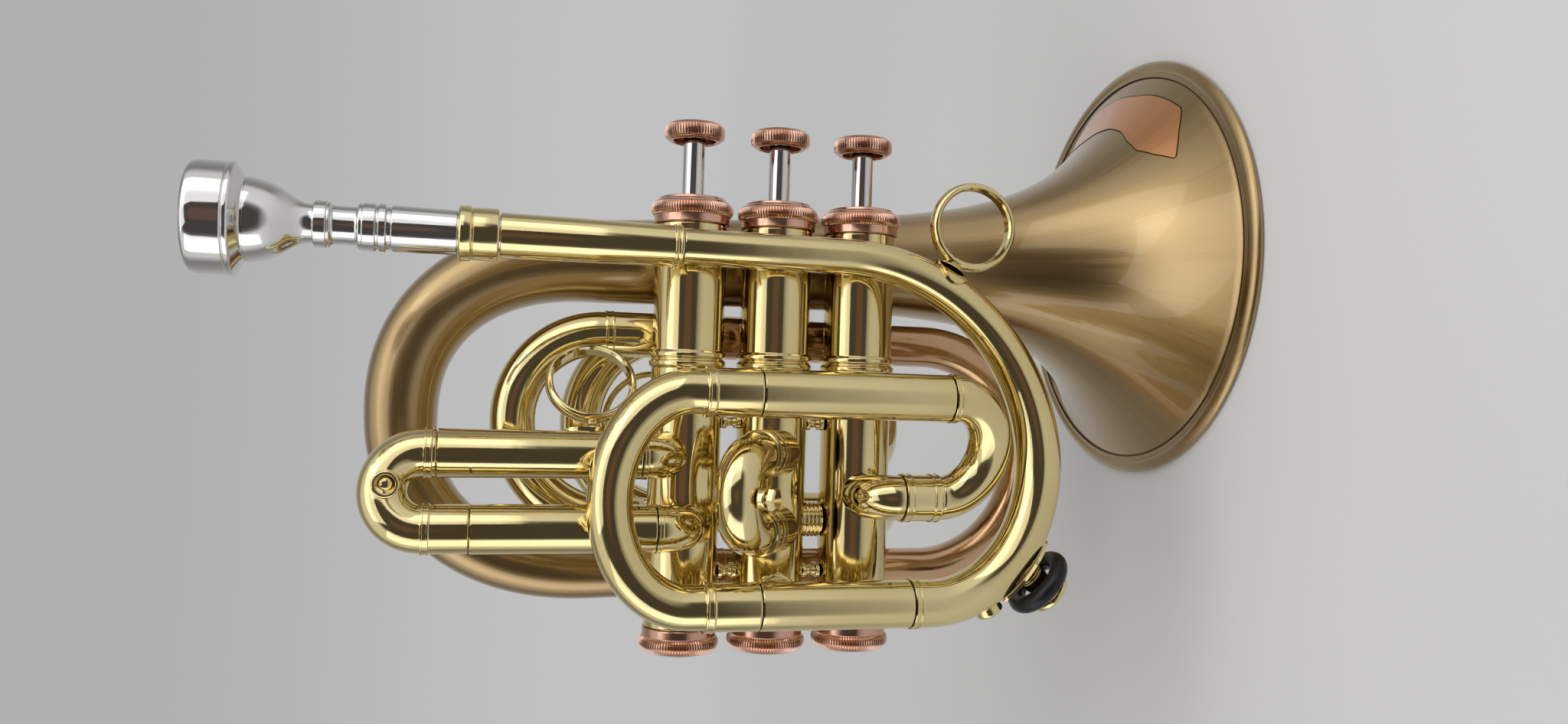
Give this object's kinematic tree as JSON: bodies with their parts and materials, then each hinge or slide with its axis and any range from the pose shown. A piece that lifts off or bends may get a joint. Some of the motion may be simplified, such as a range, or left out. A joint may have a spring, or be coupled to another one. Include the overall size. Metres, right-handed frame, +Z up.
{
  "type": "pocket trumpet",
  "caption": "Compact coiled brass trumpet standing on its bell rim, with sprung piston valves, pull slides, finger rings, a press water key and a removable mouthpiece.",
  "frame": {"origin": "centre of the bounding box at its base, on the plane that the bell rim stands on", "axes": "+Z up to the mouthpiece, +X along the valves to the finger buttons, +Y to the bell's side of the valves"},
  "size_m": [0.1818, 0.133, 0.2727],
  "materials": {
    "lacquered_brass": "clear lacquer, mirror bright",
    "brushed_brass": "brushed, satin lacquer",
    "rose_brass": "polished",
    "copper_plate": "satin copper plate",
    "silver_plate": "polished",
    "steel": "drawn wire",
    "black_rubber": "matt",
    "felt": "felt",
    "plastic": "moulded"
  },
  "bodies": {
    "horn": {"valve_casing_1": "lacquered_brass", "valve_casing_2": "lacquered_brass", "valve_casing_3": "lacquered_brass", "top_cap_1": "copper_plate", "bottom_cap_1": "copper_plate", "cap_felt_1": "felt", "valve_guide_1": "plastic", "valve_spring_1": "steel", "top_cap_2": "copper_plate", "bottom_cap_2": "copper_plate", "cap_felt_2": "felt", "valve_guide_2": "plastic", "valve_spring_2": "steel", "top_cap_3": "copper_plate", "bottom_cap_3": "copper_plate", "cap_felt_3": "felt", "valve_guide_3": "plastic", "valve_spring_3": "steel", "bell": "brushed_brass", "bell_tail": "rose_brass", "tail_crook": "lacquered_brass", "tail_port": "lacquered_brass", "mouthpiece_receiver": "lacquered_brass", "leadpipe": "lacquered_brass", "leadpipe_bow": "lacquered_brass", "tuning_tube_upper": "lacquered_brass", "tuning_tube_lower": "lacquered_brass", "entry_crook": "lacquered_brass", "entry_sleeve": "lacquered_brass", "entry_elbow": "lacquered_brass", "first_elbow_upper": "lacquered_brass", "first_elbow_lower": "lacquered_brass", "first_tube_upper": "lacquered_brass", "first_tube_lower": "lacquered_brass", "second_port_upper": "lacquered_brass", "second_port_lower": "lacquered_brass", "third_elbow_upper": "lacquered_brass", "third_elbow_lower": "lacquered_brass", "third_tube_upper": "lacquered_brass", "third_tube_lower": "lacquered_brass", "finger_ring": "lacquered_brass", "pinky_ring": "lacquered_brass", "thumb_spool": "lacquered_brass", "thumb_spool_ring": "black_rubber", "first_slide_brace": "lacquered_brass", "lower_tube_brace": "lacquered_brass"},
    "valve_1": {"piston_1": "silver_plate", "finger_button_1": "copper_plate"},
    "valve_2": {"piston_2": "silver_plate", "finger_button_2": "copper_plate"},
    "valve_3": {"piston_3": "silver_plate", "finger_button_3": "copper_plate"},
    "tuning_slide": {"tuning_slide": "lacquered_brass"},
    "first_slide": {"first_slide": "lacquered_brass"},
    "water_key": {"water_key_button": "lacquered_brass"},
    "second_slide": {"second_slide": "lacquered_brass", "second_slide_knob": "lacquered_brass"},
    "third_slide": {"third_slide": "lacquered_brass", "third_slide_ring": "lacquered_brass"},
    "mouthpiece": {"mouthpiece": "silver_plate"}
  },
  "joints": [
    {"name": "valve_1_press", "type": "slide", "parent": "horn", "child": "valve_1", "axis": [-1, 0, 0], "range_m": [0, 0.015], "stiffness_N_per_m": 120, "springref_m": -0.015, "deforming": ["valve_spring_1"]},
    {"name": "valve_2_press", "type": "slide", "parent": "horn", "child": "valve_2", "axis": [-1, 0, 0], "range_m": [0, 0.015], "stiffness_N_per_m": 120, "springref_m": -0.015, "deforming": ["valve_spring_2"]},
    {"name": "valve_3_press", "type": "slide", "parent": "horn", "child": "valve_3", "axis": [-1, 0, 0], "range_m": [0, 0.015], "stiffness_N_per_m": 120, "springref_m": -0.015, "deforming": ["valve_spring_3"]},
    {"name": "tuning_slide_pull", "type": "slide", "parent": "horn", "child": "tuning_slide", "axis": [0, 0, 1], "range_m": [0, 0.025]},
    {"name": "first_slide_pull", "type": "slide", "parent": "horn", "child": "first_slide", "axis": [0, 0, 1], "range_m": [0, 0.03]},
    {"name": "water_key_press", "type": "slide", "parent": "first_slide", "child": "water_key", "axis": [0, 1, 0], "range_m": [0, 0.0012], "stiffness_N_per_m": 300, "springref_m": -0.004},
    {"name": "second_slide_pull", "type": "slide", "parent": "horn", "child": "second_slide", "axis": [0, -0.788, 0.6157], "range_m": [0, 0.006]},
    {"name": "third_slide_pull", "type": "slide", "parent": "horn", "child": "third_slide", "axis": [0, 0, 1], "range_m": [0, 0.018]},
    {"name": "mouthpiece_pull", "type": "slide", "parent": "horn", "child": "mouthpiece", "axis": [0, 0, 1], "range_m": [0, 0.024]}
  ]
}
